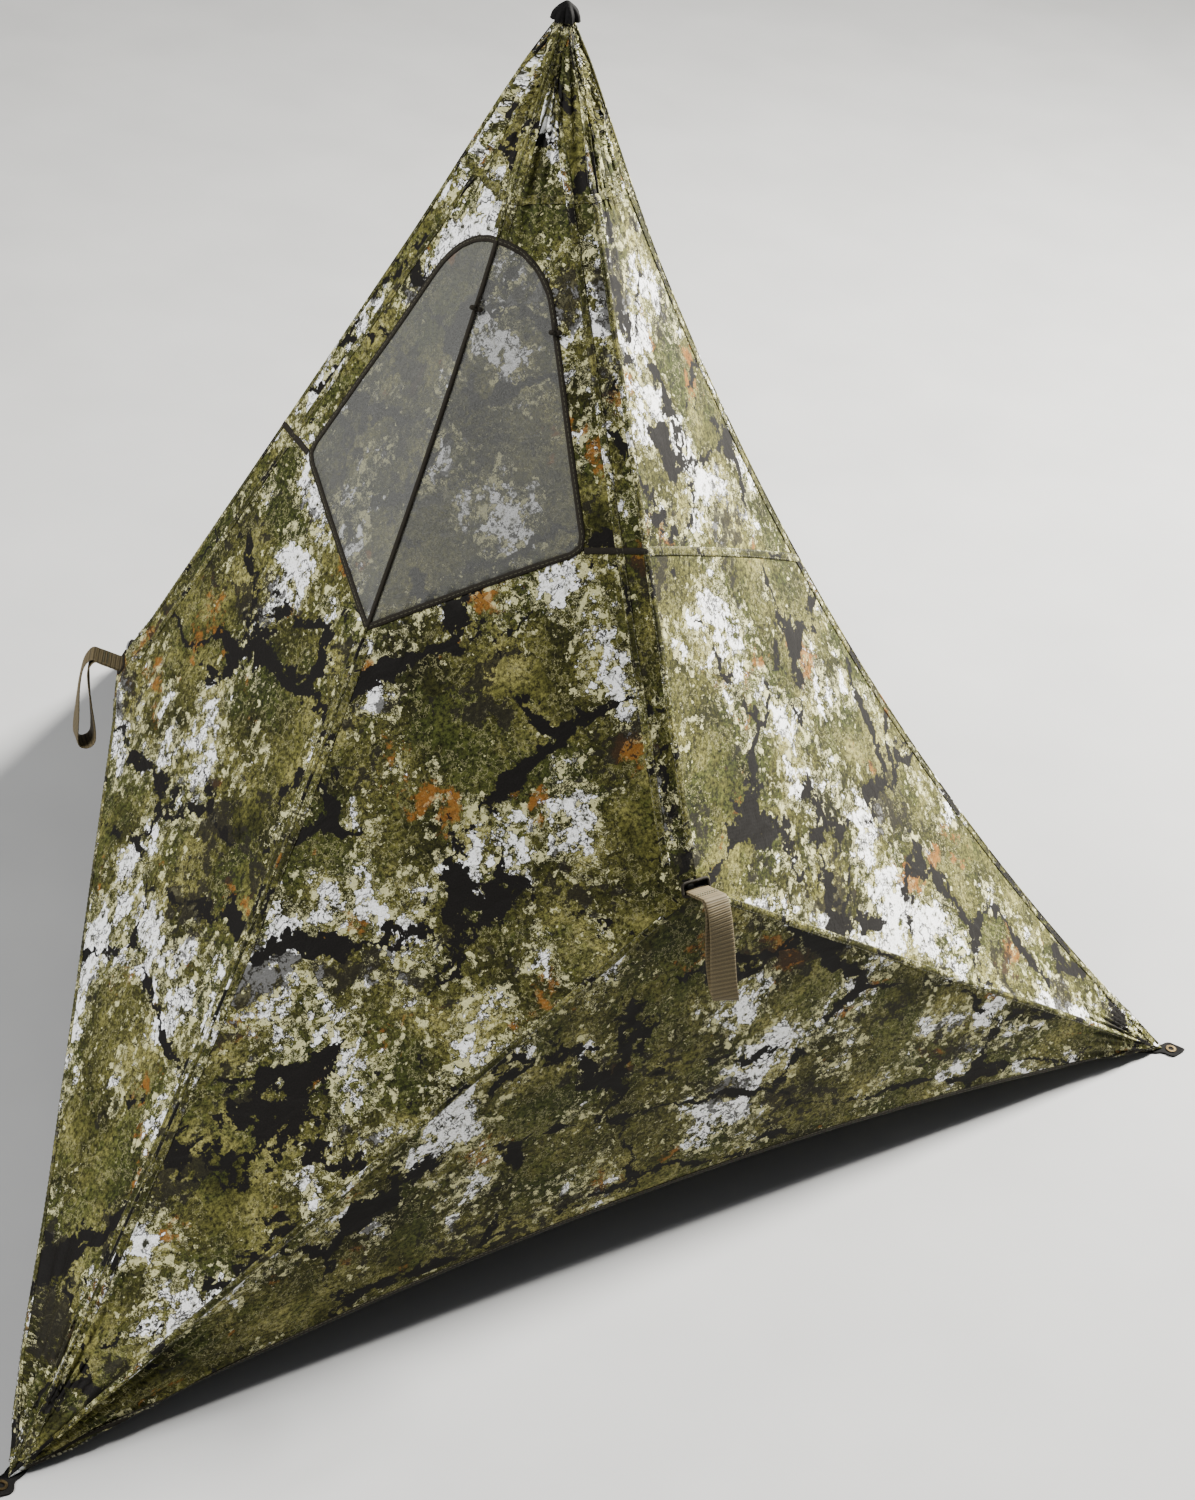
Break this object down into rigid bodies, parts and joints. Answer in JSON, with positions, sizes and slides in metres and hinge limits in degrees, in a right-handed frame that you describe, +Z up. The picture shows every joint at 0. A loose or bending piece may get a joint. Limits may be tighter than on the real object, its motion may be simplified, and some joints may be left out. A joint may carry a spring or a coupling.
{
  "type": "pop-up ground blind",
  "caption": "Floorless tetrahedral pop-up hunting blind: camouflage cloth walls pushed out by rod hubs, wrap-around mesh window, pull straps and a zipped rear door.",
  "frame": {"origin": "on the ground, under the middle of the bounding box", "axes": "+Z up; the front corner with the window points along -Y; the right corner is on the +X side and the rear wall faces +Y"},
  "size_m": [2.1692, 1.8786, 1.7296],
  "materials": {
    "camo_cloth": "satin camouflage-printed woven polyester",
    "window_mesh": "see-through camouflage-printed mesh",
    "dark_binding": "dark brown woven tape",
    "webbing": "ribbed tan webbing",
    "vinyl": "black coated vinyl",
    "brass": "dull rolled brass",
    "moulding": "black glass-filled nylon",
    "hub_metal": "black painted steel plate",
    "steel": "zinc-plated steel",
    "rod": "black pultruded glass-fibre rod",
    "fittings": "plain aluminium",
    "zip_metal": "dark painted zinc"
  },
  "bodies": {
    "shell": {"right_wall_front_cloth": "camo_cloth", "right_wall_rear_cloth": "camo_cloth", "right_wall_lower_cloth": "camo_cloth", "right_window_mesh": "window_mesh", "right_window_binding": "dark_binding", "left_wall_front_cloth": "camo_cloth", "left_wall_rear_cloth": "camo_cloth", "left_wall_lower_cloth": "camo_cloth", "left_window_mesh": "window_mesh", "left_window_binding": "dark_binding", "rear_wall_right_cloth": "camo_cloth", "rear_wall_lower_cloth": "camo_cloth", "apex_rod_socket": "moulding", "front_rod_socket": "moulding", "right_rod_socket": "moulding", "left_rod_socket": "moulding", "front_corner_tab": "vinyl", "right_corner_tab": "vinyl", "left_corner_tab": "vinyl", "stake_grommets": "brass", "apex_cap": "vinyl"},
    "right_hub": {"right_hub_body": "moulding", "right_hub_plate": "hub_metal", "right_hub_fasteners": "steel"},
    "right_strap_stub": {"right_strap_stub": "webbing"},
    "right_strap": {"right_strap_loop": "webbing"},
    "left_hub": {"left_hub_body": "moulding", "left_hub_plate": "hub_metal", "left_hub_fasteners": "steel"},
    "left_strap_stub": {"left_strap_stub": "webbing"},
    "left_strap": {"left_strap_loop": "webbing"},
    "rear_hub": {"rear_hub_body": "moulding", "rear_hub_plate": "hub_metal", "rear_hub_fasteners": "steel"},
    "rear_strap_stub": {"rear_strap_stub": "webbing"},
    "rear_strap": {"rear_strap_loop": "webbing"},
    "right_hub_apex_rod": {"right_hub_apex_rod": "rod", "right_hub_apex_rod_fittings": "fittings"},
    "right_hub_front_rod": {"right_hub_front_rod": "rod", "right_hub_front_rod_fittings": "fittings"},
    "right_hub_rear_rod": {"right_hub_rear_rod": "rod", "right_hub_rear_rod_fittings": "fittings"},
    "left_hub_apex_rod": {"left_hub_apex_rod": "rod", "left_hub_apex_rod_fittings": "fittings"},
    "left_hub_front_rod": {"left_hub_front_rod": "rod", "left_hub_front_rod_fittings": "fittings"},
    "left_hub_rear_rod": {"left_hub_rear_rod": "rod", "left_hub_rear_rod_fittings": "fittings"},
    "rear_hub_apex_rod": {"rear_hub_apex_rod": "rod", "rear_hub_apex_rod_fittings": "fittings"},
    "rear_hub_right_rod": {"rear_hub_right_rod": "rod", "rear_hub_right_rod_fittings": "fittings"},
    "rear_hub_left_rod": {"rear_hub_left_rod": "rod", "rear_hub_left_rod_fittings": "fittings"},
    "door_jamb": {"door_jamb_cloth": "camo_cloth", "door_seam_piping": "dark_binding"},
    "door": {"door_cloth": "camo_cloth"},
    "ridge_zip": {"ridge_zip_slider": "zip_metal"},
    "edge_zip": {"edge_zip_slider": "zip_metal"}
  },
  "joints": [
    {"name": "right_hub_pop", "type": "slide", "parent": "shell", "child": "right_hub", "axis": [-0.8165, 0.4714, -0.3333], "range_m": [0, 0.299], "deforming": ["right_wall_front_cloth", "right_wall_rear_cloth", "right_wall_lower_cloth", "right_window_mesh", "right_window_binding"]},
    {"name": "left_hub_pop", "type": "slide", "parent": "shell", "child": "left_hub", "axis": [0.8165, 0.4714, -0.3333], "range_m": [0, 0.299], "deforming": ["left_wall_front_cloth", "left_wall_rear_cloth", "left_wall_lower_cloth", "left_window_mesh", "left_window_binding"]},
    {"name": "rear_hub_pop", "type": "slide", "parent": "shell", "child": "rear_hub", "axis": [0, -0.9428, -0.3333], "range_m": [0, 0.299], "deforming": ["rear_wall_right_cloth", "rear_wall_lower_cloth", "door_jamb_cloth", "door_cloth", "door_seam_piping"]},
    {"name": "right_hub_apex_rod_fold", "type": "hinge", "parent": "right_hub", "child": "right_hub_apex_rod", "pos_m": [0.46146, 0.04668, 0.64551], "axis": [0.5, 0.866, 0], "range_deg": [0, 15.49]},
    {"name": "right_hub_front_rod_fold", "type": "hinge", "parent": "right_hub", "child": "right_hub_front_rod", "pos_m": [0.46146, 0.02268, 0.61157], "axis": [-0.5, -0.2887, 0.8165], "range_deg": [0, 15.49]},
    {"name": "right_hub_rear_rod_fold", "type": "hinge", "parent": "right_hub", "child": "right_hub_rear_rod", "pos_m": [0.48225, 0.05868, 0.61157], "axis": [0, -0.5773, -0.8165], "range_deg": [0, 15.49]},
    {"name": "left_hub_apex_rod_fold", "type": "hinge", "parent": "left_hub", "child": "left_hub_apex_rod", "pos_m": [-0.46146, 0.04668, 0.64551], "axis": [0.5, -0.866, 0], "range_deg": [0, 15.49]},
    {"name": "left_hub_front_rod_fold", "type": "hinge", "parent": "left_hub", "child": "left_hub_front_rod", "pos_m": [-0.46146, 0.02268, 0.61157], "axis": [-0.5, 0.2887, -0.8165], "range_deg": [0, 15.49]},
    {"name": "left_hub_rear_rod_fold", "type": "hinge", "parent": "left_hub", "child": "left_hub_rear_rod", "pos_m": [-0.48225, 0.05868, 0.61157], "axis": [0, 0.5773, 0.8165], "range_deg": [0, 15.49]},
    {"name": "rear_hub_apex_rod_fold", "type": "hinge", "parent": "rear_hub", "child": "rear_hub_apex_rod", "pos_m": [0, 0.84596, 0.64551], "axis": [-1, 0, 0], "range_deg": [0, 15.49]},
    {"name": "rear_hub_right_rod_fold", "type": "hinge", "parent": "rear_hub", "child": "rear_hub_right_rod", "pos_m": [0.02079, 0.85796, 0.61157], "axis": [0.5, -0.2887, 0.8165], "range_deg": [0, 15.49]},
    {"name": "rear_hub_left_rod_fold", "type": "hinge", "parent": "rear_hub", "child": "rear_hub_left_rod", "pos_m": [-0.02079, 0.85796, 0.61157], "axis": [0.5, 0.2887, -0.8165], "range_deg": [0, 15.49]},
    {"name": "right_strap_lift", "type": "hinge", "parent": "right_hub", "child": "right_strap_stub", "pos_m": [0.48186, 0.0349, 0.62838], "axis": [-0.5, -0.866, 0], "range_deg": [0, 38.2]},
    {"name": "right_strap_swing", "type": "hinge", "parent": "right_strap_stub", "child": "right_strap", "pos_m": [0.52661, 0.00907, 0.64665], "axis": [-0.5, -0.866, 0], "range_deg": [0, 100]},
    {"name": "left_strap_lift", "type": "hinge", "parent": "left_hub", "child": "left_strap_stub", "pos_m": [-0.48186, 0.0349, 0.62838], "axis": [-0.5, 0.866, 0], "range_deg": [0, 38.2]},
    {"name": "left_strap_swing", "type": "hinge", "parent": "left_strap_stub", "child": "left_strap", "pos_m": [-0.52661, 0.00907, 0.64665], "axis": [-0.5, 0.866, 0], "range_deg": [0, 100]},
    {"name": "rear_strap_lift", "type": "hinge", "parent": "rear_hub", "child": "rear_strap_stub", "pos_m": [0, 0.86952, 0.62838], "axis": [1, 0, 0], "range_deg": [0, 38.2]},
    {"name": "rear_strap_swing", "type": "hinge", "parent": "rear_strap_stub", "child": "rear_strap", "pos_m": [0, 0.92118, 0.64665], "axis": [1, 0, 0], "range_deg": [0, 100]},
    {"name": "door_jamb_turn", "type": "hinge", "parent": "rear_hub_apex_rod", "child": "door_jamb", "pos_m": [0, 0.87659, 0.63088], "axis": [0, -0.4603, 0.8878], "range_deg": [-24.11, 0]},
    {"name": "door_open", "type": "hinge", "parent": "door_jamb", "child": "door", "pos_m": [-0.06808, 0.86214, 0.62339], "axis": [0, 0.4603, -0.8878], "range_deg": [0, 100]},
    {"name": "ridge_zip_slide", "type": "slide", "parent": "rear_hub_left_rod", "child": "ridge_zip", "axis": [0.8577, -0.0349, 0.5129], "range_m": [0, 0.95]},
    {"name": "edge_zip_slide", "type": "hinge", "parent": "shell", "child": "edge_zip", "pos_m": [-3.93454, 2.58472, 3.6442], "axis": [-0.5, -0.866, 0], "range_deg": [0, 19.2]}
  ],
  "couplings": [
    {"joint": "right_hub_apex_rod_fold", "follows": "right_hub_pop", "rad_per_m": 0.89278},
    {"joint": "right_hub_front_rod_fold", "follows": "right_hub_pop", "rad_per_m": 0.89278},
    {"joint": "right_hub_rear_rod_fold", "follows": "right_hub_pop", "rad_per_m": 0.89278},
    {"joint": "left_hub_apex_rod_fold", "follows": "left_hub_pop", "rad_per_m": 0.89278},
    {"joint": "left_hub_front_rod_fold", "follows": "left_hub_pop", "rad_per_m": 0.89278},
    {"joint": "left_hub_rear_rod_fold", "follows": "left_hub_pop", "rad_per_m": 0.89278},
    {"joint": "rear_hub_apex_rod_fold", "follows": "rear_hub_pop", "rad_per_m": 0.89278},
    {"joint": "rear_hub_right_rod_fold", "follows": "rear_hub_pop", "rad_per_m": 0.89278},
    {"joint": "rear_hub_left_rod_fold", "follows": "rear_hub_pop", "rad_per_m": 0.89278},
    {"joint": "right_strap_lift", "follows": "right_hub_pop", "rad_per_m": 2.2181},
    {"joint": "left_strap_lift", "follows": "left_hub_pop", "rad_per_m": 2.2181},
    {"joint": "rear_strap_lift", "follows": "rear_hub_pop", "rad_per_m": 2.2181},
    {"joint": "door_jamb_turn", "follows": "rear_hub_pop", "rad_per_m": -1.3958}
  ]
}
